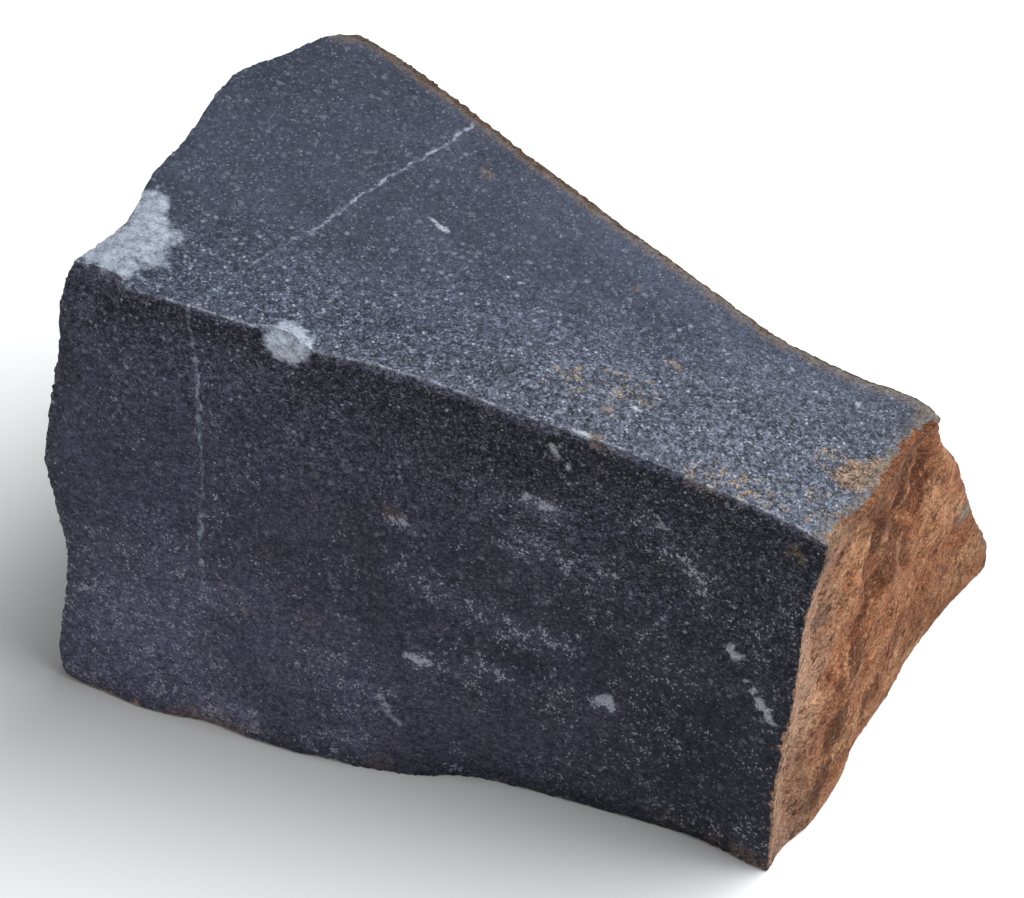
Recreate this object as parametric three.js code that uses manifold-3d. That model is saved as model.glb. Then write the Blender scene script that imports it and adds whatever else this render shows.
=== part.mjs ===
// A hand specimen of basalt: a block of dark, fine-grained rock broken off a weathered joint.
// Millimetres, +Z up, +X along the length. The rock stands on its underside at Z = 0.
// The front face looks towards -Y, and the brown weathered end is at +X.
//
// The rock is a box with bent edges. Twelve edge lines run between eight corners, a patch is
// stretched between each four of them, and each patch then gets the relief of its own face.
// Chips and flake scars are cut out of that block at the end, and the foot is cut level.

import * as THREE from "three";
import { ConvexGeometry } from "three/addons/geometries/ConvexGeometry.js";
import { mergeVertices } from "three/addons/utils/BufferGeometryUtils.js";
import { ImprovedNoise } from "three/addons/math/ImprovedNoise.js";
import Module from "manifold-3d";

// Driving dimensions
const footLength = 76.8;     // front face, along the ground
const topLength = 75.4;      // front face, along its upper edge
const heightLeft = 57.1;     // top of the front face, left end
const heightRight = 45.2;    // top of the front face, right end
const footDepth = 50;        // underside, front to back
const topDepthLeft = 43.5;   // top face, front to back, left end
const topDepthRight = 21.5;  // top face, front to back, right end
const frontLean = 4;         // the front face leans back, degrees
const topFall = 2.2;         // the top face falls to the back, degrees

// How far each corner stands off the plain box of those dimensions
const cornerShift = {
  frontRightFoot: [0, 2.6, 0],
  frontLeftTop: [3.8, -0.2, 0],
  backRightTop: [4.4, 0, -0.7],
  backLeftTop: [8.3, 0, -1.3],
  backRightFoot: [7.8, -1.5, 0],
  backLeftFoot: [5.3, 3, 0],
};

// Heights of the relief
const relief = {
  frontWaves: 1.1,     // front and top are fresh breaks
  frontSwell: 0.7,
  frontHollow: 0.9,
  topWaves: 0.8,
  topStep: 0.45,
  furrow: 1.4,         // across the weathered right end
  endSwell: 0.8,
  endLumps: 1.1,
  backRoll: 2.2,
  backLedge: 1.6,
  backPits: 3,
  leftWaves: 0.8,
  footRoll: 3.6,
  footSwell: 1.5,
  footSink: 0.7,       // the underside starts this far down, so that it can be cut level
};

// Cells of the surface grid along the length, the depth and the height
const cells = { length: 36, depth: 22, height: 22 };

const tan = (degrees) => Math.tan(THREE.MathUtils.degToRad(degrees));
const leanLeft = heightLeft * tan(frontLean);
const leanRight = heightRight * tan(frontLean);

// Corners, named by side: front or back, left or right, foot or top
const frontLeftFoot = new THREE.Vector3(-42.8, -25.8, 0);
const frontRightFoot = corner(frontLeftFoot, [footLength, 0, 0], cornerShift.frontRightFoot);
const frontLeftTop = corner(frontLeftFoot, [0, leanLeft, heightLeft], cornerShift.frontLeftTop);
const frontRightTop = new THREE.Vector3(
  frontLeftTop.x + topLength,
  frontRightFoot.y + leanRight,
  heightRight,
);
const backRightTop = corner(
  frontRightTop,
  [0, topDepthRight, -topDepthRight * tan(topFall)],
  cornerShift.backRightTop,
);
const backLeftTop = corner(
  frontLeftTop,
  [0, topDepthLeft, -topDepthLeft * tan(topFall)],
  cornerShift.backLeftTop,
);
const backRightFoot = corner(frontRightFoot, [0, footDepth, 0], cornerShift.backRightFoot);
const backLeftFoot = corner(frontLeftFoot, [0, footDepth, 0], cornerShift.backLeftFoot);

function corner(from, step, shift) {
  return from.clone().add(new THREE.Vector3(...step)).add(new THREE.Vector3(...shift));
}

// An edge runs from one corner to another and wanders off the straight line between them.
// Each entry of the wander is [fraction of the way, [dx, dy, dz]], and the line is smooth
// through them. It returns the point at a fraction t of the way.
function edgeLine(from, to, wander) {
  const knots = [[0, [0, 0, 0]], ...wander, [1, [0, 0, 0]]];
  return (t) => {
    let i = 0;
    while (i < knots.length - 2 && t > knots[i + 1][0]) i++;
    const [t0, a] = knots[i];
    const [t1, b] = knots[i + 1];
    const before = knots[Math.max(i - 1, 0)];
    const after = knots[Math.min(i + 2, knots.length - 1)];
    const s = (t - t0) / (t1 - t0);
    const offset = [0, 1, 2].map((k) => {
      const slopeIn = (t1 - t0) * slope(before, knots[i + 1], k);
      const slopeOut = (t1 - t0) * slope(knots[i], after, k);
      return hermite(a[k], b[k], slopeIn, slopeOut, s);
    });
    return new THREE.Vector3().lerpVectors(from, to, t).add(new THREE.Vector3(...offset));
  };
}

function slope(start, end, k) {
  return (end[1][k] - start[1][k]) / (end[0] - start[0]);
}

function hermite(a, b, slopeIn, slopeOut, s) {
  const s2 = s * s;
  const s3 = s2 * s;
  const value = a * (2 * s3 - 3 * s2 + 1) + b * (3 * s2 - 2 * s3);
  return value + slopeIn * (s3 - 2 * s2 + s) + slopeOut * (s3 - s2);
}

// Edges along the length
const topFront = edgeLine(frontLeftTop, frontRightTop, [
  [0.05, [0, -0.4, 0]],
  [0.08, [0, -1.1, -0.3]],
  [0.12, [0, -0.8, -0.1]],
  [0.18, [0, -0.4, 0]],
  [0.26, [0, -0.1, 0.1]],
  [0.34, [0, -0.1, -0.1]],
  [0.38, [0, 0.3, 0.3]],
  [0.47, [0, 0.7, 0.8]],
  [0.6, [0, 0.8, 0.9]],
  [0.7, [0, 1.1, 1.1]],
  [0.81, [0, 0.9, 0.9]],
  [0.95, [0, 0.6, 0.5]],
]);
const topBack = edgeLine(backLeftTop, backRightTop, [
  [0.03, [0, 1.5, 0]],
  [0.06, [0, 1.8, 0]],
  [0.13, [0, 1.7, 0]],
  [0.2, [0, 1.2, 0]],
  [0.28, [0, 0.5, 0]],
  [0.35, [0, -0.2, 0]],
  [0.42, [0, -0.6, 0]],
  [0.49, [0, -1.2, 0]],
  [0.56, [0, -1.5, 0]],
  [0.69, [0, -2.3, 0]],
  [0.76, [0, -2.6, 0]],
  [0.82, [0, -2.0, 0]],
  [0.88, [0, -1.2, 0]],
  [0.93, [0, 0.0, 0]],
  [0.98, [0, 0.8, 0]],
]);
const footFront = edgeLine(frontLeftFoot, frontRightFoot, [
  [0.02, [0, -0.6, 0]],
  [0.06, [0, -0.8, 0]],
  [0.1, [0, -1.4, 0]],
  [0.13, [0, -1.6, 0]],
  [0.18, [0, -1.4, 0]],
  [0.21, [0, -0.9, 0]],
  [0.24, [0, -1.2, 0]],
  [0.29, [0, -1.6, 0]],
  [0.36, [0, -1.7, 0]],
  [0.39, [0, -1.3, 0]],
  [0.42, [0, -1.4, 0]],
  [0.47, [0, -0.9, 0]],
  [0.52, [0, -0.2, 0]],
  [0.57, [0, 1.3, 0]],
  [0.65, [0, 1.8, 0]],
  [0.76, [0, 1.8, 0]],
  [0.88, [0, 1.7, 0]],
  [0.94, [0, 0.9, 0]],
  [0.97, [0, 0.2, 0]],
]);
const footBack = edgeLine(backLeftFoot, backRightFoot, [
  [0.08, [0, 0.8, 0]],
  [0.2, [0, -0.6, 0]],
  [0.36, [0, -2.4, 0]],
  [0.5, [0, -1.2, 0]],
  [0.63, [0, 0.6, 0]],
  [0.78, [0, -0.9, 0]],
  [0.9, [0, 0.3, 0]],
]);

// Edges along the depth
const topLeft = edgeLine(frontLeftTop, backLeftTop, [
  [0.08, [0.0, 0, 0]],
  [0.16, [0.4, 0, 0]],
  [0.24, [-0.3, 0, 0]],
  [0.31, [-1.4, 0, 0]],
  [0.39, [-2.1, 0, 0]],
  [0.47, [-2.3, 0, 0]],
  [0.55, [-3.0, 0, 0.1]],
  [0.63, [-4.0, 0, 0.1]],
  [0.71, [-4.4, 0, 0.2]],
  [0.76, [-4.8, 0, 0.2]],
  [0.82, [-3.5, 0, 0.2]],
  [0.9, [-2.1, 0, 0.1]],
  [0.96, [-1.2, 0, 0.1]],
]);
const topRight = edgeLine(frontRightTop, backRightTop, [
  [0.1, [0.1, 0, 0.1]],
  [0.3, [0.8, 0, 0.1]],
  [0.5, [0.6, 0, 0.2]],
  [0.64, [0.1, 0, 0.2]],
  [0.76, [-0.3, 0, 0.2]],
  [0.88, [0.2, 0, 0.1]],
]);
const footLeft = edgeLine(frontLeftFoot, backLeftFoot, [
  [0.08, [-1.4, 0, 0]],
  [0.2, [-2.3, 0, 0]],
  [0.38, [-0.8, 0, 0]],
  [0.55, [-3.0, 0, 0]],
  [0.72, [-3.6, 0, 0]],
  [0.87, [-1.4, 0, 0]],
]);
const footRight = edgeLine(frontRightFoot, backRightFoot, [
  [0.05, [-0.3, 0, 0]],
  [0.08, [-0.3, 0, 0]],
  [0.12, [0.6, 0, 0]],
  [0.17, [0.8, 0, 0]],
  [0.24, [0.7, 0, 0]],
  [0.32, [0.4, 0, 0]],
  [0.37, [-0.4, 0, 0]],
  [0.46, [-0.5, 0, 0]],
  [0.56, [-0.6, 0, 0]],
  [0.67, [-1.2, 0, 0]],
  [0.77, [-1.1, 0, 0]],
  [0.86, [-0.9, 0, 0]],
  [0.93, [-0.4, 0, 0]],
]);

// Edges along the height
const frontLeft = edgeLine(frontLeftFoot, frontLeftTop, [
  [0.03, [-0.9, 0, 0]],
  [0.08, [-1.0, 0, 0]],
  [0.19, [-0.4, 0, 0]],
  [0.28, [-0.2, 0, 0]],
  [0.34, [-0.3, 0, 0]],
  [0.4, [-1.4, 0, 0]],
  [0.46, [-2.0, 0, 0]],
  [0.52, [-3.0, 0, 0]],
  [0.62, [-2.5, 0, 0]],
  [0.72, [-2.0, 0, 0]],
  [0.81, [-1.4, 0, 0]],
  [0.86, [-1.7, 0, 0]],
  [0.94, [-1.0, 0, 0]],
]);
const frontRight = edgeLine(frontRightFoot, frontRightTop, [
  [0.09, [-0.1, 0, 0]],
  [0.13, [-0.1, 0, 0]],
  [0.23, [-0.6, 0, 0]],
  [0.36, [-0.3, 0, 0]],
  [0.44, [-0.3, 0, 0]],
  [0.54, [-0.4, 0, 0]],
  [0.62, [-0.5, 0, 0]],
  [0.73, [-0.7, 0, 0]],
  [0.81, [-0.5, 0, 0]],
  [0.91, [0.0, 0, 0]],
  [0.97, [0.2, 0, 0]],
]);
const backLeft = edgeLine(backLeftFoot, backLeftTop, [
  [0.1, [-1.8, 0.6, 0]],
  [0.28, [-2.6, 1.4, 0]],
  [0.45, [-0.6, 1.8, 0]],
  [0.62, [-1.4, 0.8, 0]],
  [0.8, [-1.8, 1.0, 0]],
  [0.92, [-0.5, 0.6, 0]],
]);
const backRight = edgeLine(backRightFoot, backRightTop, [
  [0.05, [0.0, 1.0, 0]],
  [0.12, [0.0, 1.6, 0]],
  [0.26, [-0.2, 1.1, 0]],
  [0.4, [-0.3, 1.1, 0]],
  [0.53, [-0.4, 1.3, 0]],
  [0.68, [-0.5, 1.3, 0]],
  [0.82, [-0.9, 0.3, 0]],
  [0.91, [-0.8, 0.5, 0]],
]);

// Relief of the faces. Each function takes fractions u and v across the face and gives the
// height over the bare patch in millimetres, before it fades out at the face's border.
const noise = new ImprovedNoise();

function roughness(x, y, seed, octaves) {
  let sum = 0;
  let size = 1;
  for (let i = 0; i < octaves; i++) {
    sum += size * noise.noise(x / size, y / size, seed + 7.3 * i);
    size /= 2;
  }
  return sum;
}

const bump = (x, y, x0, y0, width, height) => {
  const a = (x - x0) / width;
  const b = (y - y0) / height;
  return Math.exp(-a * a - b * b);
};

// A flake scar like the inside of a shell, with faint ripples round the point of the blow
const scar = (x, y, x0, y0, radius, depth) => {
  const r = Math.hypot(x - x0, y - y0) / radius;
  const ripple = 0.12 * Math.cos(r * 14);
  return r < 1 ? -depth * (1 - r * r) * (1 + ripple) : 0;
};

// Fresh break: flat, with slow waves and a shallow swell below its middle
function frontRelief(u, v) {
  const waves = relief.frontWaves * roughness(u * 4.2, v * 3.1, 2.5, 3);
  const swell = relief.frontSwell * bump(u, v, 0.55, 0.35, 0.3, 0.2);
  return waves + swell - relief.frontHollow * bump(u, v, 0.2, 0.8, 0.25, 0.15);
}

function topRelief(u, v) {
  const step = relief.topStep * bump(u, v, 0.88, 0.35, 0.07, 0.2);
  return relief.topWaves * roughness(u * 4.5, v * 3, 14.5, 3) - step;
}

// Old joint surface: grainy, with a furrow that runs down from the top back corner and leaves
// at the front edge halfway up. The rock swells out behind it.
function rightRelief(u, v) {
  const furrowAt = 0.05 + 0.85 * THREE.MathUtils.smoothstep(v, 0.38, 0.85);
  const furrow = -relief.furrow * Math.exp(-(((u - furrowAt) / 0.1) ** 2));
  const swell = relief.endSwell * bump(u, v, furrowAt + 0.32, 0.5, 0.25, 0.35);
  const lumps = relief.endLumps * roughness(u * 9 - v * 3, v * 4.5 + u * 1.5, 31.2, 3);
  return furrow + swell + lumps * (0.3 + 0.7 * THREE.MathUtils.smoothstep(v, 0.05, 0.4));
}

// Weathered back: rolling, with pits and one ledge along it
function backRelief(u, v) {
  const ledge = relief.backLedge * Math.tanh((v - 0.42 + 0.12 * Math.sin(5 * u)) * 16);
  const pits = Math.max(roughness(u * 15, v * 10, 52.8, 2) - 0.35, 0);
  const roll = relief.backRoll * roughness(u * 5, v * 3.4, 44.1, 4);
  return roll - ledge - relief.backPits * pits;
}

// Fresh break at the left end: three large flake scars side by side
function leftRelief(u, v) {
  const upper = scar(u, v, 0.32, 0.95, 0.62, 4.2);
  const behind = scar(u, v, 0.75, 0.3, 0.52, 4.6);
  const low = scar(u, v, 0.12, 0.08, 0.42, 2.8);
  const waves = relief.leftWaves * roughness(u * 4, v * 4, 63.7, 3);
  return Math.min(upper, behind, low) + waves;
}

// Underside: uneven, and later trimmed flat where it reaches the ground
function footRelief(u, v) {
  const swell = relief.footSwell * bump(u, v, 0.5, 0.5, 0.16, 0.2);
  return swell - relief.footRoll * roughness(u * 4.4, v * 3.3, 75.4, 3) - relief.footSink;
}

// A patch between four edges, which share their corners. bottom and top run along u, and
// left and right along v.
function patchPoint(patch, u, v) {
  const p00 = patch.bottom(0);
  const p10 = patch.bottom(1);
  const p01 = patch.top(0);
  const p11 = patch.top(1);
  const across = new THREE.Vector3().lerpVectors(patch.bottom(u), patch.top(u), v);
  const along = new THREE.Vector3().lerpVectors(patch.left(v), patch.right(v), u);
  const low = new THREE.Vector3().lerpVectors(p00, p10, u);
  const high = new THREE.Vector3().lerpVectors(p01, p11, u);
  return across.add(along).sub(low.lerp(high, v));
}

const patches = [
  {
    bottom: footFront, top: topFront, left: frontLeft, right: frontRight,
    cells: [cells.length, cells.height], out: [0, -1, 0], height: frontRelief, fade: 0.12,
  },
  {
    bottom: footBack, top: topBack, left: backLeft, right: backRight,
    cells: [cells.length, cells.height], out: [0, 1, 0], height: backRelief, fade: 0.1,
  },
  {
    bottom: topFront, top: topBack, left: topLeft, right: topRight,
    cells: [cells.length, cells.depth], out: [0, 0, 1], height: topRelief, fade: 0.15,
  },
  {
    bottom: footFront, top: footBack, left: footLeft, right: footRight,
    cells: [cells.length, cells.depth], out: [0, 0, -1], height: footRelief, fade: 0.1,
  },
  {
    bottom: footLeft, top: topLeft, left: frontLeft, right: backLeft,
    cells: [cells.depth, cells.height], out: [-1, 0, 0], height: leftRelief, fade: 0.12,
  },
  {
    bottom: footRight, top: topRight, left: frontRight, right: backRight,
    cells: [cells.depth, cells.height], out: [1, 0, 0], height: rightRelief, fade: 0.1,
  },
];

// Rises from 0 at a patch's border to 1 inside it
const fadeIn = (t, width) => THREE.MathUtils.smoothstep(Math.min(t, 1 - t), 0, width);

function patchTriangles(patch) {
  const [columns, rows] = patch.cells;
  const out = new THREE.Vector3(...patch.out);
  const grid = [];
  for (let j = 0; j <= rows; j++) {
    for (let i = 0; i <= columns; i++) {
      const u = i / columns;
      const v = j / rows;
      const lift = patch.height(u, v) * fadeIn(u, patch.fade) * fadeIn(v, patch.fade);
      grid.push(patchPoint(patch, u, v).addScaledVector(out, lift));
    }
  }
  const at = (i, j) => grid[j * (columns + 1) + i];
  const turn = at(columns, 0).clone().sub(at(0, 0)).cross(at(0, rows).clone().sub(at(0, 0)));
  const facesOut = turn.dot(out) > 0;
  const triangles = [];
  for (let j = 0; j < rows; j++) {
    for (let i = 0; i < columns; i++) {
      const quad = [at(i, j), at(i + 1, j), at(i + 1, j + 1), at(i, j + 1)];
      if (!facesOut) quad.reverse();
      triangles.push(...splitQuad(quad));
    }
  }
  return triangles;
}

// The shorter diagonal follows ridges and hollows better
function splitQuad([a, b, c, d]) {
  return a.distanceTo(c) < b.distanceTo(d) ? [a, b, c, a, c, d] : [a, b, d, b, c, d];
}

function blockGeometry() {
  const points = patches.flatMap(patchTriangles);
  const loose = new THREE.BufferGeometry().setFromPoints(points);
  return mergeVertices(loose, 0.002);
}

// Chips and scars, each cut by a large lens whose far side never shows. A lens touches the
// rock at a point, faces along a direction, and sinks in by a depth over a given width.
const chips = [
  // Crushed left end of the top face
  { at: [-36.4, -16, 56.5], facing: [-0.15, 0.05, 1], width: 13, depth: 0.4 },
  // Bruise on the upper front edge
  { at: [-16.8, -21.6, 53.4], facing: [-0.1, -0.9, 0.75], width: 5.4, depth: 0.8 },
  // Hollow under the lip between those two
  { at: [-27.6, -23.2, 51.6], facing: [0, -1, -0.1], width: 11, depth: 1.1 },
  // Dull corner at the back end of the brown face
  { at: [41.2, 1.0, 43.7], facing: [0.9, 0.2, 0.8], width: 4, depth: 0.4 },
  // Scars along the hidden edges
  { at: [-36.2, 25.6, 40], facing: [-0.8, 0.7, 0.1], width: 19, depth: 2.2 },
  { at: [-38.6, 27.4, 10], facing: [-0.5, 0.9, -0.1], width: 16, depth: 1.8 },
  { at: [-5, 24.5, 1.0], facing: [0.1, 0.9, -0.5], width: 20, depth: 1.5 },
  { at: [26, 26.2, 4], facing: [-0.1, 0.9, 0.2], width: 14, depth: 1.2 },
  { at: [-43.6, 4, 3], facing: [-1, 0, -0.3], width: 18, depth: 1.6 },
];

// The flake that left the upper front edge at its left end, with a steep step beside it
const cornerFlake = [
  [-48, -21.2, 60],
  [-33.4, -21.3, 60],
  [-32.9, -24.5, 60],
  [-32.5, -30, 60],
  [-48, -30, 60],
  [-48, -23.7, 46],
  [-35, -23.3, 47],
  [-34.5, -30, 47],
  [-48, -30, 46],
];

const lensDetail = 11;

function lensGeometry({ at, facing, width, depth }) {
  const radius = (width * width) / (8 * depth) + depth / 2;
  const outward = new THREE.Vector3(...facing).normalize();
  const lens = welded(new THREE.IcosahedronGeometry(radius, lensDetail));
  const centre = new THREE.Vector3(...at).addScaledVector(outward, radius - depth);
  return lens.translate(centre.x, centre.y, centre.z);
}

function flakeGeometry(corners) {
  return welded(new ConvexGeometry(corners.map((point) => new THREE.Vector3(...point))));
}

function groundGeometry() {
  const side = 200;
  return welded(new THREE.BoxGeometry(side, side, side)).translate(0, 0, -side / 2);
}

// Only positions are kept, so that the corners of neighbouring triangles become one
function welded(geometry) {
  geometry.deleteAttribute("normal");
  geometry.deleteAttribute("uv");
  return mergeVertices(geometry, 1e-4);
}

const wasm = await Module();
wasm.setup();

function solid(geometry) {
  return new wasm.Manifold(new wasm.Mesh({
    numProp: 3,
    vertProperties: new Float32Array(geometry.attributes.position.array),
    triVerts: new Uint32Array(geometry.index.array),
  }));
}

function geometryOf(body) {
  const mesh = body.getMesh();
  const geometry = new THREE.BufferGeometry();
  geometry.setAttribute("position", new THREE.BufferAttribute(mesh.vertProperties, 3));
  geometry.setIndex(new THREE.BufferAttribute(mesh.triVerts, 1));
  return geometry;
}

let rockBody = solid(blockGeometry());
for (const chip of chips) {
  rockBody = rockBody.subtract(solid(lensGeometry(chip)));
}
rockBody = rockBody.subtract(solid(flakeGeometry(cornerFlake)));
rockBody = rockBody.subtract(solid(groundGeometry()));

// The origin is under the middle of the rock
function centredOnFoot(geometry) {
  geometry.computeBoundingBox();
  const { min, max } = geometry.boundingBox;
  geometry.translate(-(min.x + max.x) / 2, -(min.y + max.y) / 2, -min.z);
  geometry.computeVertexNormals();
  return geometry;
}

const basalt = new THREE.MeshStandardMaterial({ color: 0x45464f, roughness: 0.82, metalness: 0 });
const rock = new THREE.Mesh(centredOnFoot(geometryOf(rockBody)), basalt);
rock.name = "rock";

const group = new THREE.Group();
group.add(rock);

export default group;
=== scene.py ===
import math
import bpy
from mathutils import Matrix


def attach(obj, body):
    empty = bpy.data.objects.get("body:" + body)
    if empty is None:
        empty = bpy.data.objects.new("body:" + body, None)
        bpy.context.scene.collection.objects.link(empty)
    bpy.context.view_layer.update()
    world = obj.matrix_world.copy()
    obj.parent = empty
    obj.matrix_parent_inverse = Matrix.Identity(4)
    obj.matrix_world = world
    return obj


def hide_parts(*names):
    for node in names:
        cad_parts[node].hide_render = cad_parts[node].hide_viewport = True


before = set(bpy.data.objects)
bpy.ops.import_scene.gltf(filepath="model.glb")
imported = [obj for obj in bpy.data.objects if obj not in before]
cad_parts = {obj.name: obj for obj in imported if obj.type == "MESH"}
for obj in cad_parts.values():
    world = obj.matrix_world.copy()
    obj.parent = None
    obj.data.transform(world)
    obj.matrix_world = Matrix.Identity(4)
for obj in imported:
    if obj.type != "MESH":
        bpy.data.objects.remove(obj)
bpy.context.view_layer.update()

from types import SimpleNamespace

import bmesh
import bpy
from mathutils import Vector

mm = 0.001


# Node trees. A value in the inputs is either a plain value or the socket that feeds it.
def addNode(tree, kind, inputs=None, out=0, **settings):
    made = tree.nodes.new(kind)
    for name, value in settings.items():
        setattr(made, name, value)
    for key, value in (inputs or {}).items():
        if isinstance(value, bpy.types.NodeSocket):
            tree.links.new(value, made.inputs[key])
        else:
            made.inputs[key].default_value = value
    return made.outputs[out]


def math1(tree, operation, a, b=0.0, c=0.0):
    return addNode(tree, "ShaderNodeMath", {0: a, 1: b, 2: c}, operation=operation)


def vector1(tree, operation, a, b=(0, 0, 0), scale=None):
    inputs = {0: a, 1: b}
    if scale is not None:
        inputs["Scale"] = scale
    out = 1 if operation in ("DOT_PRODUCT", "LENGTH", "DISTANCE") else 0
    return addNode(tree, "ShaderNodeVectorMath", inputs, out=out, operation=operation)


def remap(tree, value, low, high, toLow=0.0, toHigh=1.0, smooth=True):
    return addNode(
        tree, "ShaderNodeMapRange",
        {"Value": value, "From Min": low, "From Max": high, "To Min": toLow, "To Max": toHigh},
        interpolation_type="SMOOTHSTEP" if smooth else "LINEAR",
    )


# A different seed reads another part of the same pattern
def noiseAt(tree, place, size, detail=3.0, roughness=0.55, seed=0, out="Fac"):
    return addNode(
        tree, "ShaderNodeTexNoise",
        {"Vector": shifted(tree, place, seed), "Scale": 1 / size, "Detail": detail,
         "Roughness": roughness},
        out=out,
    )


def cellsAt(tree, place, size, out="Distance", seed=0):
    return addNode(
        tree, "ShaderNodeTexVoronoi",
        {"Vector": shifted(tree, place, seed), "Scale": 1 / size}, out=out,
    )


def shifted(tree, place, seed):
    return vector1(tree, "ADD", place, (seed * 97, seed * 61, seed * 83)) if seed else place


# Where a mesh point is, in millimetres
def pointPlace(tree):
    return vector1(tree, "SCALE", addNode(tree, "GeometryNodeInputPosition"), scale=1 / mm)


def flat(tree, x, y, z=0.0):
    return addNode(tree, "ShaderNodeCombineXYZ", {0: x, 1: y, 2: z})


def parts(tree, vector):
    return addNode(tree, "ShaderNodeSeparateXYZ", {0: vector}).node.outputs


def times(tree, *factors):
    total = factors[0]
    for factor in factors[1:]:
        total = math1(tree, "MULTIPLY", total, factor)
    return total


def plus(tree, a, b):
    return math1(tree, "ADD", a, b)


def line(tree, value, slope, start):
    return math1(tree, "MULTIPLY_ADD", value, slope, start)


def strongest(tree, *masks):
    total = masks[0]
    for mask in masks[1:]:
        total = math1(tree, "MAXIMUM", total, mask)
    return total


# The block: a smoothed copy of the solid, with its breaks kept sharp
blockLook = {
    "creaseAngle": 30,      # degrees between faces, above which an edge stays sharp
    "breakAngle": 35,       # above which it counts as the edge of a break
    "shadeAngle": 40,       # above which the finished rock is shaded sharp
    "smoothing": 2,
    "voxel": 0.2,           # mm, of the even skin that takes the relief
    "snap": 0.1,            # mm, from which the skin's points go onto the edge of a break
    "evenBeyond": 0.7,      # mm from the edges, where the skin's steps are evened out
    "faces": 190000,        # triangles kept in the finished rock
}

reliefLook = {
    "Hackle Height": 0.18,      # mm, slow unevenness of the fresh breaks
    "Hackle Size": 4.5,
    "Grain Height": 0.04,
    "Grain Size": 0.9,
    "Crust Height": 0.5,        # mm, lumps of the weathered faces
    "Crust Size": 2.6,
    "Crumb Height": 0.42,
    "Crumb Size": 0.85,
    "Chip Depth": 0.1,          # mm, nicks along the sharp edges
    "Chip Reach": 0.5,
    "Chip Size": 1.0,
    "Seed": 4.0,
}

# A face is weathered where its normal leans this far towards a side, and it lies past the
# given millimetres that way
oldSides = {
    "end": {"way": (1, 0, 0), "lean": 0.6, "past": 25},
    "back": {"way": (0.2, 0.98, 0), "lean": 0.5, "past": -14},
    "foot": {"way": (0, 0, -1), "lean": 0.7, "past": -3},
}


def copyBlock():
    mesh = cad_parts["rock"].data.copy()
    mesh.materials.clear()
    shape = bmesh.new()
    shape.from_mesh(mesh)
    bmesh.ops.remove_doubles(shape, verts=shape.verts, dist=1e-7)
    crease = shape.edges.layers.float.new("crease_edge")
    limit = math.radians(blockLook["creaseAngle"])
    for edge in shape.edges:
        if edge.calc_face_angle(0) > limit:
            edge[crease] = 1.0
    shape.to_mesh(mesh)
    shape.free()
    for name in [a.name for a in mesh.attributes if a.name in ("custom_normal", "sharp_face")]:
        mesh.attributes.remove(mesh.attributes[name])
    block = bpy.data.objects.new("block", mesh)
    bpy.context.scene.collection.objects.link(block)
    return block


# Distances from each point to the sharp edges and to the weathered sides of the block
def breakDistances(tree, source):
    angle = addNode(tree, "GeometryNodeInputMeshEdgeAngle")
    limit = math.radians(blockLook["breakAngle"])
    sharp = addNode(
        tree, "GeometryNodeSeparateGeometry",
        {0: source, 1: math1(tree, "GREATER_THAN", angle, limit)}, domain="EDGE",
    )
    sides = oldFaces(tree, addNode(tree, "GeometryNodeInputNormal"))
    nearest = addNode(
        tree, "GeometryNodeProximity", {0: sharp}, out="Position", target_element="EDGES",
    )
    found = {"edge": distanceTo(tree, sharp, "EDGES"), "edgePlace": nearest}
    for name, chosen in sides.items():
        part = addNode(
            tree, "GeometryNodeSeparateGeometry", {0: source, 1: chosen}, domain="FACE",
        )
        found[name] = distanceTo(tree, part, "FACES")
    return found


def oldFaces(tree, normal):
    place = pointPlace(tree)
    faces = {}
    for name, old in oldSides.items():
        leaning = vector1(tree, "DOT_PRODUCT", normal, old["way"])
        reached = vector1(tree, "DOT_PRODUCT", place, old["way"])
        facing = math1(tree, "GREATER_THAN", leaning, old["lean"])
        beyond = math1(tree, "GREATER_THAN", reached, old["past"])
        faces[name] = times(tree, facing, beyond)
    return faces


# In millimetres
def distanceTo(tree, target, element):
    near = addNode(
        tree, "GeometryNodeProximity", {0: target}, out="Distance", target_element=element,
    )
    return math1(tree, "MULTIPLY", near, 1 / mm)


def newTree(name, sizes):
    tree = bpy.data.node_groups.new(name, "GeometryNodeTree")
    tree.is_modifier = True
    sockets = tree.interface
    sockets.new_socket("Geometry", in_out="INPUT", socket_type="NodeSocketGeometry")
    sockets.new_socket("Block", in_out="INPUT", socket_type="NodeSocketObject")
    sockets.new_socket("Stone", in_out="INPUT", socket_type="NodeSocketMaterial")
    for size in sizes:
        sockets.new_socket(size, in_out="INPUT", socket_type="NodeSocketFloat")
    sockets.new_socket("Geometry", in_out="OUTPUT", socket_type="NodeSocketGeometry")
    given = tree.nodes.new("NodeGroupInput").outputs
    block = addNode(
        tree, "GeometryNodeObjectInfo", {"Object": given["Block"]}, out="Geometry",
        transform_space="RELATIVE",
    )
    return tree, given, block


def useTree(rock, tree, values):
    modifier = rock.modifiers.new(tree.name, "NODES")
    modifier.node_group = tree
    for item in tree.interface.items_tree:
        if item.in_out == "INPUT" and item.name in values:
            modifier[item.identifier] = values[item.name]
    return modifier


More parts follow.
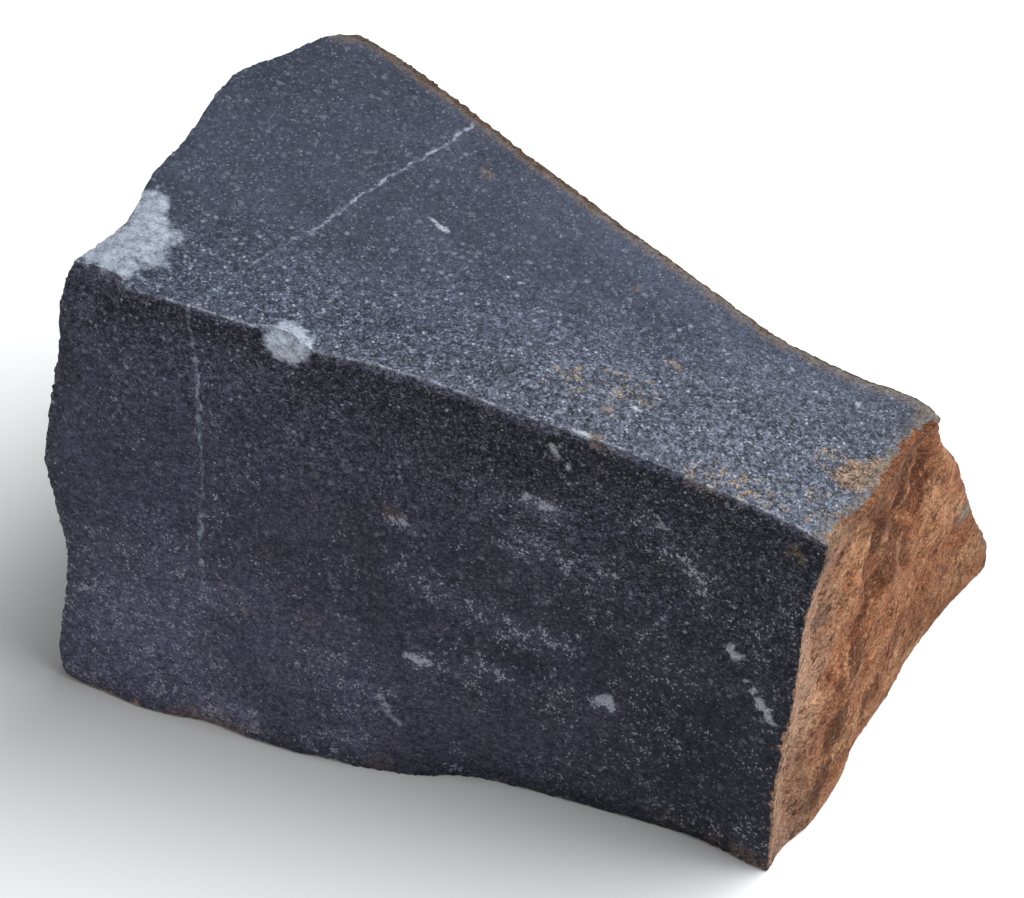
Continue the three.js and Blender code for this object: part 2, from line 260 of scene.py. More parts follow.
# Lifts and sinks the even skin along its normal: grain on the fresh breaks, lumps and crumbs
# on the weathered sides, and nicks along the sharp edges
def reliefTree():
    tree, given, block = newTree("fracture relief", reliefLook)
    far = breakDistances(tree, block)
    place = pointPlace(tree)

    def seeded(size, detail, roughness, shift=0.0):
        return addNode(
            tree, "ShaderNodeTexNoise",
            {"Vector": place, "W": plus(tree, given["Seed"], shift),
             "Scale": math1(tree, "DIVIDE", 1.0, given[size]), "Detail": detail,
             "Roughness": roughness},
            noise_dimensions="4D",
        )

    def swing(height, size, detail, roughness, shift):
        centred = math1(tree, "SUBTRACT", seeded(size, detail, roughness, shift), 0.5)
        return times(tree, centred, times(tree, given[height], 2.0))

    hackle = swing("Hackle Height", "Hackle Size", 5, 0.55, 0.3)
    grain = swing("Grain Height", "Grain Size", 3, 0.6, 1.7)
    fresh = plus(tree, hackle, grain)
    crust = swing("Crust Height", "Crust Size", 5, 0.6, 3.1)
    crumb = swing("Crumb Height", "Crumb Size", 3, 0.6, 5.9)
    rough = plus(tree, crust, crumb)

    # Weathered means the end, the back or the foot, whichever is nearest
    away = math1(tree, "MINIMUM", far["end"], math1(tree, "MINIMUM", far["back"], far["foot"]))
    weathered = remap(tree, away, 0.5, 0.1)
    fade = remap(tree, far["edge"], 0.0, 3.0, 0.05, 1.0)
    lift = addNode(tree, "ShaderNodeMix", {0: weathered, 2: fresh, 3: times(tree, rough, fade)})

    # Nicks take some stretches of the edges and leave others sharp
    pick = remap(tree, seeded("Chip Size", 3, 0.6), 0.42, 0.62)
    near = remap(tree, far["edge"], 0.0, given["Chip Reach"], 1.0, 0.0)
    lift = math1(tree, "SUBTRACT", lift, times(tree, pick, near, given["Chip Depth"]))

    # The skin's steps are evened out, and its points nearest an edge go onto it
    normal = addNode(tree, "GeometryNodeInputNormal")
    offset = vector1(tree, "SCALE", normal, scale=times(tree, lift, mm))
    smooth = addNode(
        tree, "GeometryNodeBlurAttribute",
        {"Value": addNode(tree, "GeometryNodeInputPosition"), "Iterations": 1, "Weight": 0.6},
        data_type="FLOAT_VECTOR",
    )
    inside = math1(tree, "GREATER_THAN", far["edge"], blockLook["evenBeyond"])
    even = addNode(
        tree, "GeometryNodeSetPosition",
        {0: given["Geometry"], 1: inside, "Position": smooth},
    )
    beside = math1(tree, "LESS_THAN", far["edge"], blockLook["snap"])
    snapped = addNode(
        tree, "GeometryNodeSetPosition", {0: even, 1: beside, "Position": far["edgePlace"]},
    )
    moved = addNode(tree, "GeometryNodeSetPosition", {0: snapped, "Offset": offset})

    # The foot stays on the ground
    at = parts(tree, addNode(tree, "GeometryNodeInputPosition"))
    held = flat(tree, at[0], at[1], strongest(tree, at[2], 0.0))
    moved = addNode(tree, "GeometryNodeSetPosition", {0: moved, "Position": held})
    return finishTree(tree, given, moved)


# Stores what the stone's material reads: which way the nearest face of the block looks, if it
# is a weathered one, how far the edges and the old surfaces are, the stains and streaks, and the
# strokes of painted light and shade
def marksTree():
    tree, given, block = newTree("weathering", [])
    far = breakDistances(tree, block)
    place = pointPlace(tree)
    at = parts(tree, place)
    side = addNode(
        tree, "GeometryNodeSampleNearestSurface",
        {"Mesh": block, "Value": addNode(tree, "GeometryNodeInputNormal")},
        data_type="FLOAT_VECTOR",
    )
    old = oldFaces(tree, side)
    sideAt = parts(tree, side)
    ahead = math1(tree, "LESS_THAN", sideAt[1], -0.4)
    upward = math1(tree, "GREATER_THAN", sideAt[2], 0.5)
    stroke = strokeGroup()
    frontPlace = flat(tree, at[0], at[2])
    topPlace = flat(tree, at[0], at[1])
    endPlace = flat(tree, at[1], at[2])
    drawnOut = furrowPlace(tree, place, at[0])

    # Streaks and spots wander a little off their lines
    looseAt = parts(tree, wandering(tree, place))
    frontLoose = flat(tree, looseAt[0], looseAt[2])
    topLoose = flat(tree, looseAt[0], looseAt[1])

    def drawnMarks(frontMarks, topMarks):
        onFront = times(tree, strokes(tree, stroke, frontLoose, frontMarks), ahead)
        onTop = times(tree, strokes(tree, stroke, topLoose, topMarks), upward)
        return strongest(tree, onFront, onTop)

    fields = {
        "edge": far["edge"],
        "end": far["end"],
        "back": far["back"],
        "weathered": strongest(tree, old["end"], old["back"], old["foot"]),
        "clouds": noiseAt(tree, place, patternLook["cloud"], 2, 0.6, seed=2),
        "drift": noiseAt(tree, place, patternLook["drift"], 2, 0.5, seed=6),
        "patch": noiseAt(tree, place, patternLook["patch"], 4, 0.6, seed=17),
        "streak": noiseAt(tree, drawnOut, patternLook["streak"], 4, 0.65, seed=15),
        # pale speck crowds; they also paint light onto the front, most on its low left
        "haze": times(tree, strokes(tree, stroke, frontPlace, frontSpecksAndLight), ahead),
        # painted shade on the front
        "shade": times(tree, strokes(tree, stroke, frontPlace, frontShade), ahead),
        "pale": drawnMarks(frontStreaks, topStreaks),
        "spots": drawnMarks(frontRust, topRust),
        "bruise": strokes(tree, stroke, topPlace, bruises),
        "cluster": strokes(tree, stroke, topPlace, rustClusters),
        "brownPatch": strokes(tree, stroke, topPlace, brownPatches),
        # painted shadow in the end's furrow, over dark stains
        "furrow": strokes(tree, stroke, endPlace, furrowShadeAndStains),
    }
    shape = stored(tree, given["Geometry"], "side", side, "FLOAT_VECTOR")
    for name, field in fields.items():
        shape = stored(tree, shape, name, field, "FLOAT")
    return finishTree(tree, given, shape)


def stored(tree, shape, name, value, kind):
    return addNode(
        tree, "GeometryNodeStoreNamedAttribute", {0: shape, "Name": name, "Value": value},
        data_type=kind, domain="POINT",
    )


def finishTree(tree, given, shape):
    real = addNode(tree, "GeometryNodeRealizeInstances", {0: shape})
    dressed = addNode(tree, "GeometryNodeSetMaterial", {0: real, "Material": given["Stone"]})
    end = tree.nodes.new("NodeGroupOutput")
    tree.links.new(dressed, end.inputs[0])
    return tree


def makeRock(stone):
    block = copyBlock()
    skin = block.copy()
    skin.data = block.data.copy()
    skin.name = "skin"
    bpy.context.scene.collection.objects.link(skin)
    smooth = skin.modifiers.new("smooth", "SUBSURF")
    smooth.levels = smooth.render_levels = blockLook["smoothing"]
    even = skin.modifiers.new("even", "REMESH")
    even.mode = "VOXEL"
    even.voxel_size = blockLook["voxel"] * mm * 1
    useTree(skin, reliefTree(), {**reliefLook, "Block": block, "Stone": stone})
    graph = bpy.context.evaluated_depsgraph_get()
    count = sum(len(p.vertices) - 2 for p in skin.evaluated_get(graph).data.polygons)
    print("relief done,", count, "triangles before thinning")
    thin = skin.modifiers.new("thin", "DECIMATE")
    thin.ratio = min(1.0, blockLook["faces"] / count)
    useTree(skin, marksTree(), {"Block": block, "Stone": stone})
    graph = bpy.context.evaluated_depsgraph_get()
    mesh = bpy.data.meshes.new_from_object(skin.evaluated_get(graph))
    mesh.name = "rockSurface"
    bpy.data.objects.remove(skin)
    bpy.data.objects.remove(block)
    mesh.shade_smooth()
    mesh.set_sharp_from_angle(angle=math.radians(blockLook["shadeAngle"]))
    rock = bpy.data.objects.new("rockSurface", mesh)
    bpy.context.scene.collection.objects.link(rock)
    print("rock surface:", len(mesh.polygons), "faces")
    return rock


# The stone's colours. Places are millimetres in the rock's own frame: x and z on the front,
# x and y on the top, y and z on the end
stoneLook = {
    "fresh": (0.048, 0.0525, 0.080),
    "freshGrey": (0.0515, 0.0545, 0.0725),      # towards the front right of the top
    "front": (0.0495, 0.0495, 0.081),
    "warm": (0.066, 0.046, 0.042),      # faint brown clouds in the fresh stone
    "pale": (0.42, 0.44, 0.49),         # crystals, scuffs and streaks
    "bruise": (0.355, 0.376, 0.44),
    "vein": (0.34, 0.38, 0.46),
    "rust": (0.34, 0.225, 0.125),
    "stain": (0.17, 0.105, 0.065),      # on the top, beside the end
    "rind": (0.125, 0.095, 0.075),       # thin skin where a break cuts the back
    "bleached": (0.155, 0.128, 0.108),   # and where it cuts the end
    "crust": (0.275, 0.100, 0.044),
    "crustLight": (0.42, 0.205, 0.102),
    "crustDark": (0.095, 0.031, 0.014),
    "crustGrey": (0.21, 0.17, 0.14),
    "crumbsAndHighlights": (0.46, 0.33, 0.25),       # pale crumbs and painted highlights along the front edge of the end
    "backCrust": (0.12, 0.088, 0.065),
}

# From, to, width, strength
frontStreaks = [
    ((28.7, 28.4), (30.6, 26.0), 0.55, 1.0),
    ((30.9, 24.8), (33.9, 20.6), 0.60, 0.95),
    ((27.2, 18.9), (27.0, 7.6), 0.25, 0.45),
    ((-5.9, 11.2), (-3.2, 6.6), 0.80, 0.6),
    ((-3.0, 17.6), (-0.8, 17.3), 0.70, 0.9),
    ((0.6, 15.8), (3.6, 16.5), 0.45, 0.5),
    ((16.6, 16.4), (17.4, 15.4), 0.95, 1.2),
    ((10.7, 24.6), (13.7, 23.1), 0.40, 0.6),
    ((10.2, 48.2), (12.3, 45.8), 0.45, 0.75),
    ((7.8, 41.2), (11.1, 39.7), 0.90, 0.6),
    ((20.7, 42.3), (21.6, 40.6), 0.50, 0.7),
    ((-4.4, 34.0), (-3.8, 33.6), 0.60, 0.8),
    ((12.6, 50.2), (13.6, 49.8), 0.60, 0.8),
    ((-39.1, 15.4), (-32.8, 21.6), 0.40, 0.3),
    ((-13.2, 51.0), (-10.3, 42.7), 0.40, 0.22),
]
topStreaks = [
    ((-10.6, 0.3), (-8.5, -0.8), 0.70, 0.8),
    ((-1.2, -3.5), (0.3, -4.1), 0.45, 0.7),
    ((24.2, 1.8), (24.4, 1.8), 0.50, 0.8),
    ((33.8, -2.4), (34.3, -2.4), 0.45, 0.7),
    ((15.6, -14.9), (17.2, -15.3), 0.40, 0.7),
]
frontRust = [
    ((-5.9, 34.6), (-5.2, 34.3), 0.75, 0.8),
    ((-21.2, 18.0), (-20.9, 17.7), 0.65, 0.7),
    ((34.4, 43.2), (35.0, 42.6), 0.80, 0.8),
    ((14.2, 49.7), (15.0, 49.3), 0.60, 0.9),
]
topRust = [
    ((-8.8, 9.9), (-8.6, 9.3), 0.65, 0.9),
    ((10.1, 1.6), (10.3, 1.4), 0.50, 0.7),
    ((17.1, -7.3), (17.5, -7.0), 0.60, 0.8),
    ((14.2, -17.2), (14.5, -17.0), 0.55, 0.7),
    ((16.5, -13.6), (17.0, -13.8), 0.60, 0.7),
]
rustClusters = [        # reach of a cluster of fine specks, on the top
    ((9.4, -14.6), (15.5, -12.6), 3.4, 0.7),
    ((25.0, -19.8), (36.8, -17.0), 3.0, 0.9),
    ((35.0, -11.3), (38.6, -11.2), 3.0, 1.2),
]
brownPatches = [
    ((36.8, -12.2), (39.4, -9.6), 2.5, 1.0),
    ((39.6, -8.5), (41.0, -4.0), 1.4, 0.5),
    ((39.8, 0.5), (41.6, -3.5), 1.8, 0.45),
]
bruises = [             # on the top
    ((-35.0, -12.4), (-33.4, -16.5), 2.8, 1.0),
    ((-36.2, -19.5), (-33.0, -17.0), 3.6, 1.0),
    ((-36.5, -21.2), (-33.2, -21.6), 2.4, 0.72),
    ((-33.5, -15.0), (-30.8, -15.6), 2.0, 0.62),
    ((-33.0, -19.0), (-30.4, -19.2), 1.9, 0.6),
]
frontSpecksAndLight = [           # crowds of pale specks, which also lighten the stone under them
    ((8.4, 39.7), (10.9, 39.8), 2.2, 1.0),
    ((7.5, 34.3), (15.5, 32.6), 2.8, 0.7),
    ((22.9, 38.0), (26.0, 34.2), 2.4, 0.8),
    ((19.2, 41.2), (20.7, 41.0), 1.4, 0.6),
    ((-6.2, 33.8), (-3.5, 33.2), 1.2, 0.9),
    ((-4.3, 28.3), (3.7, 23.9), 2.4, 0.6),
    ((3.7, 23.9), (11.7, 21.7), 2.6, 0.9),
    ((-2.3, 17.2), (6.0, 17.0), 2.0, 0.9),
    ((16.2, 15.6), (17.4, 15.4), 1.6, 1.0),
    ((-29.5, 24.5), (-27.7, 17.2), 4.5, 0.4),
    ((-27.7, 17.2), (-21.6, 19.0), 2.8, 0.5),
    # mostly painted light on the low left of the front, with some pale specks
    ((-37.0, 12.0), (-31.0, 6.0), 13.0, 0.45),
    ((-40.5, 2.4), (-36.0, 3.0), 3.6, 0.6),
    ((-26.0, 2.9), (-20.0, 2.4), 3.4, 0.7),
    ((-12.5, 2.5), (-9.0, 3.4), 4.0, 0.6),
    ((-11.4, 12.8), (-9.2, 12.3), 3.4, 0.5),
]
frontShade = [          # painted shade: under the top's lip, high on the front and at its low right, with one dark blotch in the middle
    ((-33.0, 53.6), (-19.0, 51.8), 2.6, 0.5),
    ((12.0, 47.6), (34.0, 42.6), 3.2, 0.3),
    ((5.5, 19.6), (9.5, 18.6), 2.0, 0.4),
    ((26.0, 14.0), (33.0, 3.0), 12.0, 0.3),
    ((-12.0, 50.5), (10.0, 46.0), 7.0, 0.4),
]
ovalBruise = (-16.0, -22.4, 53.0)       # middle, on the front edge of the top
furrowShadeAndStains = [        # dark, on the end: painted shadow in its furrow, over dark stains
    ((-3.4, 39.4), (-5.0, 33.0), 3.6, 0.8),
    ((-2.0, 28.5), (-4.6, 26.5), 2.8, 1.0),
    ((-6.2, 28.0), (-9.0, 25.0), 2.6, 0.9),
    ((-8.0, 36.0), (-11.5, 31.0), 3.4, 0.7),
    ((-10.5, 22.6), (-11.5, 19.5), 2.4, 0.9),
    ((-12.6, 12.6), (-13.4, 9.5), 2.2, 0.9),
    ((4.0, 33.6), (1.5, 30.5), 2.6, 0.6),
    ((-15.0, 6.0), (-15.6, 3.5), 2.2, 0.6),
]


def blend(tree, amount, under, over):
    inputs = {0: amount, 6: colour4(under), 7: colour4(over)}
    return addNode(tree, "ShaderNodeMix", inputs, out=2, data_type="RGBA")


def colour4(colour):
    return (*colour, 1) if isinstance(colour, tuple) else colour


# A round-ended stroke: 1 along the line from one point to the other, 0 beyond its width
def strokeGroup():
    tree = bpy.data.node_groups.new("stroke", "GeometryNodeTree")
    for name in ("Place", "From", "To"):
        tree.interface.new_socket(name, in_out="INPUT", socket_type="NodeSocketVector")
    for name in ("Width", "Strength"):
        tree.interface.new_socket(name, in_out="INPUT", socket_type="NodeSocketFloat")
    tree.interface.new_socket("Mask", in_out="OUTPUT", socket_type="NodeSocketFloat")
    given = tree.nodes.new("NodeGroupInput").outputs
    along = vector1(tree, "SUBTRACT", given["To"], given["From"])
    reach = vector1(tree, "SUBTRACT", given["Place"], given["From"])
    share = math1(
        tree, "DIVIDE", vector1(tree, "DOT_PRODUCT", reach, along),
        vector1(tree, "DOT_PRODUCT", along, along),
    )
    nearest = vector1(tree, "SCALE", along, scale=addNode(tree, "ShaderNodeClamp", {0: share}))
    away = math1(tree, "DIVIDE", vector1(tree, "DISTANCE", reach, nearest), given["Width"])
    mask = remap(tree, away, 0.25, 1.0, 1.0, 0.0)
    end = tree.nodes.new("NodeGroupOutput")
    tree.links.new(times(tree, mask, given["Strength"]), end.inputs[0])
    return tree


def strokes(tree, stroke, place, marks):
    return strongest(tree, *(
        addNode(
            tree, "GeometryNodeGroup",
            {"Place": place, "From": (*start, 0), "To": (*stop, 0),
             "Width": width, "Strength": strength},
            node_tree=stroke,
        )
        for start, stop, width, strength in marks
    ))


# The stone's patterns. Sizes are millimetres, and ways and places are in the rock's own frame
patternLook = {
    "cloud": 9.0,               # slow changes of the fresh stone
    "drift": 8.0,               # from one thin scuff to the next
    "patch": 6.0,               # tan and dark places of the crust
    "streak": 2.4,              # across the end's furrow
    "grain": 0.19,
    "mottle": 0.8,              # unevenness a few grains wide
    "powder": 1.3,
    "crystal": 0.95,            # from one pale crystal to the next
    # painted shade of small pits in the end's crust
    "shadedPit": 0.65,
    "bump": 0.35,
    "bumpHeight": 0.1,
    "wander": 1.1,              # how streaks, the vein and the oval bruise stray
    "crispWay": (0.265, -0.656, 0.707),     # the grain stands out more this way, between
    "crispFrom": 33,                        # these distances
    "crispTo": 50,
    "greyWay": (0.5, -1, 0),    # the fresh stone gets greyer this way
    "greyFrom": 8,
    "greyTo": 24,
    "veinWay": (0.944, -0.326, 0.044),      # across the vein
    "veinAt": 13.9,
    "veinWidth": 0.27,
    "furrowAlong": (0, 0.25, 0.24),         # stains on the end, and the painted shade of its pits, are drawn out this way
    "furrowAcross": (0, -0.69, 0.72),
    "greySpot": (42.1, 15.6, 17.0),         # a lichen on the end
}


# Painted light and shade on the fresh stone, as shares of its colour
paintedLightLook = {
    # painted light: the top gets lighter to the right
    "topLeft": 0.7,
    "topRight": 1.04,
    "topNear": 1.22,            # painted light, along the front edge of the top
    # painted light: the front gets lighter to the left and darker to the right
    "frontLeft": 1.05,
    "frontRight": 0.44,
    "frontRim": 0.7,            # painted shade beside the front's edges, as under the top's lip
    # painted light low on the front, and painted shade high on it
    "frontLow": 1.45,
    "frontHigh": 0.85,
}

# How strongly each mark covers the stone under it, from 0 to 1
markLook = {
    "warm": 0.55,               # faint brown clouds on the front
    # painted glints on the brightest pale grains
    "sparkle": 0.46,
    "scuff": 0.65,
    "thinScuff": 0.35,
    "vein": 0.8,
    "rust": 0.7,
    "stain": 0.8,
    "rind": 0.8,
    "bleached": 0.8,
    "darkStreak": 0.88,         # on the end, as the four after it
    "crumbsAndHighlights": 0.42,
    "greySpot": 0.8,
    "shadedPit": 0.85,
    "paleGrain": 0.3,
}


# A pattern that runs from 0 to 1, made to swing by half the reach to either side of 0
def swung(tree, pattern, reach):
    return math1(tree, "MULTIPLY_ADD", pattern, reach, -reach / 2)


def tinted(tree, colour, tone):
    return vector1(tree, "SCALE", colour, scale=tone)


def attribute(tree, name, out="Fac"):
    return addNode(tree, "ShaderNodeAttribute", out=out, attribute_name=name)


# Along the end's furrow the patterns are long, and across it they are short
def furrowPlace(tree, place, x):
    along = vector1(tree, "DOT_PRODUCT", place, patternLook["furrowAlong"])
    across = vector1(tree, "DOT_PRODUCT", place, patternLook["furrowAcross"])
    return flat(tree, x, along, across)


def wandering(tree, place):
    stray = noiseAt(tree, place, patternLook["wander"], 1, 0.6, seed=3, out="Color")
    middle = vector1(tree, "ADD", place, (-0.5, -0.5, -0.5))
    return vector1(tree, "ADD", middle, stray)


# What all parts of the material share: places, patterns, and masks of the sides
def readStone(tree):
    look = patternLook
    place = addNode(tree, "ShaderNodeTexCoord", out="Object")
    place = vector1(tree, "SCALE", place, scale=1 / mm)
    side = parts(tree, attribute(tree, "side", "Vector"))
    grains = cellsAt(tree, place, look["grain"], out="Color")
    mottle = noiseAt(tree, place, look["mottle"], 3, 0.7)
    onLeft = remap(tree, side[0], -0.5, -0.75)
    crisp = vector1(tree, "DOT_PRODUCT", place, look["crispWay"])
    crisp = remap(tree, crisp, look["crispFrom"], look["crispTo"])
    return SimpleNamespace(
        place=place,
        at=parts(tree, place),
        loose=wandering(tree, place),
        side=side,
        onFront=remap(tree, side[1], -0.35, -0.6),
        onTop=remap(tree, side[2], 0.35, 0.6),
        onLeft=onLeft,
        crisp=strongest(tree, crisp, times(tree, onLeft, 0.5)),
        edge=attribute(tree, "edge"),
        clouds=attribute(tree, "clouds"),
        patch=attribute(tree, "patch"),
        streak=attribute(tree, "streak"),
        haze=attribute(tree, "haze"),
        grain=addNode(tree, "ShaderNodeSeparateColor", {0: grains}).node.outputs,
        mottle=mottle,
        broken=remap(tree, mottle, 0.42, 0.56, 0.2, 1.0),
        ragged=swung(tree, mottle, 3.0),
        powder=noiseAt(tree, place, look["powder"], 3, 0.7, seed=7),
    )


# How light the fresh stone is, from place to place and from grain to grain, times painted light
# and shade over the top and the front
def toneWithPaintedLight(tree, s):
    # Painted light on the top: lighter to the right and towards its front edge
    topPaintedLight = times(
        tree,
        remap(tree, s.at[0], -38, 38, paintedLightLook["topLeft"], paintedLightLook["topRight"]),
        remap(tree, s.at[1], -5, -21, 1.0, paintedLightLook["topNear"]),
    )
    # Painted light and shade on the front: lighter to the left and low down, darker to the right,
    # beside its edges, high up and under the painted shade strokes; lighter too under the pale
    # speck crowds
    frontPaintedLight = times(
        tree,
        remap(tree, s.at[0], -38, 38, paintedLightLook["frontLeft"], paintedLightLook["frontRight"]),
        remap(tree, s.edge, 0.2, 3.5, paintedLightLook["frontRim"], 1.0),
        remap(tree, s.at[2], 30, 3, 1.0, paintedLightLook["frontLow"]),
        remap(tree, s.at[2], 36, 52, 1.0, paintedLightLook["frontHigh"]),
        line(tree, attribute(tree, "shade"), -1.0, 1.0),
        line(tree, s.haze, 0.5, 1.0),
    )
    paintedLight = addNode(tree, "ShaderNodeMix", {0: s.onTop, 2: frontPaintedLight, 3: topPaintedLight})
    contrast = line(tree, s.crisp, 1.4, line(tree, s.onFront, 0.6, 0.6))
    fine = times(
        tree, line(tree, s.grain[0], 0.9, 0.55),
        remap(tree, s.mottle, 0.33, 0.67, 0.7, 1.3, smooth=False),
    )
    fine = math1(tree, "POWER", fine, contrast)
    return times(tree, fine, remap(tree, s.clouds, 0.3, 0.7, 0.85, 1.15), paintedLight)


# Dark and pale grains side by side, with sparse pale crystals; the brightest pale grains are
# partly painted glints, fewer on the front
def freshStone(tree, s, tone):
    look = stoneLook
    grey = vector1(tree, "DOT_PRODUCT", s.place, patternLook["greyWay"])
    grey = remap(tree, grey, patternLook["greyFrom"], patternLook["greyTo"])
    fresh = blend(tree, strongest(tree, grey, s.onLeft), look["fresh"], look["freshGrey"])
    insideFront = times(tree, s.onFront, remap(tree, s.edge, 0.05, 0.5))
    fresh = blend(tree, insideFront, fresh, look["front"])
    warm = times(
        tree, remap(tree, s.mottle, 0.4, 0.7), remap(tree, s.patch, 0.4, 0.65), s.onFront,
        markLook["warm"],
    )
    fresh = blend(tree, warm, fresh, look["warm"])
    # painted glints on the brightest pale grains, fewer on the front
    sparkle = times(
        tree,
        math1(tree, "POWER", s.grain[1], 10.0),
        remap(tree, s.mottle, 0.4, 0.6, 0.08, markLook["sparkle"]),
        line(tree, s.onFront, -0.3, 1.0),
        line(tree, s.crisp, 1.25, 0.35),
    )
    fresh = blend(tree, sparkle, tinted(tree, fresh, tone), look["pale"])

    cells = cellsAt(tree, s.place, patternLook["crystal"], seed=1)
    chosen = addNode(tree, "ShaderNodeSeparateColor", {0: cells.node.outputs["Color"]})
    crystal = times(
        tree,
        remap(tree, cells, 0.08, line(tree, s.crisp, -0.3, 0.48), 1.0, 0.0),
        remap(tree, chosen, 0.6, 0.9),
        line(tree, s.crisp, 0.7, 0.15),
    )
    return blend(tree, crystal, fresh, look["pale"])


# Powdery scuffs on the front, in crowds of specks and thinner between them
def addScuffs(tree, s, fresh):
    low = remap(tree, s.at[2], 46, 24, 0.3, 1.0)
    thin = remap(tree, attribute(tree, "drift"), 0.42, 0.6)
    thin = times(tree, thin, low, markLook["thinScuff"])
    offTop = math1(tree, "SUBTRACT", 1.0, s.onTop)
    crowd = times(
        tree, strongest(tree, s.haze, thin), remap(tree, s.powder, 0.45, 0.64), offTop,
    )
    specks = line(tree, crowd, 0.6, times(tree, s.grain[2], -1.0))
    specks = remap(tree, specks, -0.08, 0.1, 0.0, markLook["scuff"])
    return blend(tree, line(tree, crowd, 0.08, specks), fresh, stoneLook["pale"])


# The drawn streaks, with frayed borders
def addStreaks(tree, s, fresh):
    pale = plus(tree, attribute(tree, "pale"), swung(tree, s.mottle, 1.2))
    pale = times(tree, remap(tree, pale, 0.3, 0.75), line(tree, s.grain[2], 0.8, 0.3))
    return blend(tree, pale, fresh, stoneLook["pale"])


# One hairline vein runs through the top and down the front
def addVein(tree, s, fresh):
    away = vector1(tree, "DOT_PRODUCT", s.loose, patternLook["veinWay"])
    away = plus(tree, away, line(tree, s.streak, 1.0, patternLook["veinAt"]))
    away = math1(tree, "ABSOLUTE", away)
    upper = times(tree, s.onFront, remap(tree, s.at[2], 17, 22, 0.0, markLook["vein"]))
    backward = times(tree, s.onTop, remap(tree, s.at[1], -18, 2, 0.2, markLook["vein"]))
    vein = times(
        tree,
        remap(tree, away, 0.04, patternLook["veinWidth"], 1.0, 0.0),
        remap(tree, s.powder, 0.42, 0.58, 0.15, 0.9),
        remap(tree, s.grain[2], 0.1, 0.6, 0.5, 1.0),
        strongest(tree, upper, backward),
    )
    return blend(tree, vein, fresh, stoneLook["vein"])


# Bruises: crushed, pale and powdery. There are pale crumbs with painted highlights too, along the
# top's front edge.
def addBruises(tree, s, fresh):
    bruise = plus(tree, attribute(tree, "bruise"), swung(tree, s.powder, 1.1))
    bruise = times(
        tree, remap(tree, bruise, 0.2, 0.75), s.onTop, remap(tree, s.at[2], 54.9, 55.6),
    )
    away = vector1(tree, "DISTANCE", s.loose, ovalBruise)
    away = plus(tree, away, swung(tree, s.powder, 2.8))
    bruise = strongest(tree, bruise, remap(tree, away, 1.8, 2.7, 1.0, 0.0))
    crushed = plus(tree, s.powder, swung(tree, s.grain[2], 0.3))
    bruise = times(tree, bruise, remap(tree, crushed, 0.28, 0.62, 0.5, 1.0))
    tone = times(
        tree, remap(tree, s.mottle, 0.33, 0.67, 0.8, 1.2),
        remap(tree, s.at[2], 53.8, 52.6, 0.85, 1.5),
    )
    fresh = blend(tree, bruise, fresh, tinted(tree, stoneLook["bruise"], tone))
    # pale crumbs and painted highlights along the top's front edge
    crumbsAndHighlights = times(
        tree,
        remap(tree, s.edge, 0.45, 0.1),
        s.onTop,
        remap(tree, s.at[1], -14, -17),
        s.crisp,
        remap(tree, s.powder, 0.42, 0.6, 0.1, 0.75),
        line(tree, s.grain[2], 0.8, 0.2),
    )
    return blend(tree, crumbsAndHighlights, fresh, stoneLook["pale"])


# Rust in single spots, in clusters of fine specks, and here and there along the foot
def addRust(tree, s, fresh):
    spots = times(tree, attribute(tree, "spots"), s.broken)
    chance = times(
        tree, attribute(tree, "cluster"), s.onTop, remap(tree, s.powder, 0.46, 0.64), 0.5,
    )
    specks = math1(tree, "GREATER_THAN", chance, s.grain[1])
    foot = times(
        tree, remap(tree, s.at[2], 0.3, 3.0, 1.0, 0.0), remap(tree, s.clouds, 0.45, 0.65),
        s.broken, 0.6,
    )
    rust = times(tree, strongest(tree, spots, specks, foot), markLook["rust"])
    tone = line(tree, s.grain[2], 0.8, 0.5)
    return blend(tree, rust, fresh, tinted(tree, stoneLook["rust"], tone))


# The rind, where a break cuts through the weathered skin, and the brown stain beside the end
def addRinds(tree, s, fresh, tone):
    look = stoneLook
    brown = plus(tree, attribute(tree, "brownPatch"), swung(tree, s.powder, 0.8))
    brown = times(tree, remap(tree, brown, 0.2, 0.8, 0.0, markLook["stain"]), s.onTop)
    fresh = blend(tree, brown, fresh, tinted(tree, look["stain"], tone))
    rindTone = line(tree, s.grain[0], 0.9, 0.55)
    back = plus(tree, attribute(tree, "back"), s.ragged)
    back = times(tree, remap(tree, back, 0.3, 1.9, markLook["rind"], 0.0), s.onTop)
    fresh = blend(tree, back, fresh, tinted(tree, look["rind"], rindTone))
    end = plus(tree, attribute(tree, "end"), s.ragged)
    end = remap(tree, end, 0.2, 2.6, markLook["bleached"], 0.0)
    end = times(tree, end, s.onTop, line(tree, s.grain[2], 0.6, 0.5))
    return blend(tree, end, fresh, tinted(tree, look["bleached"], rindTone))


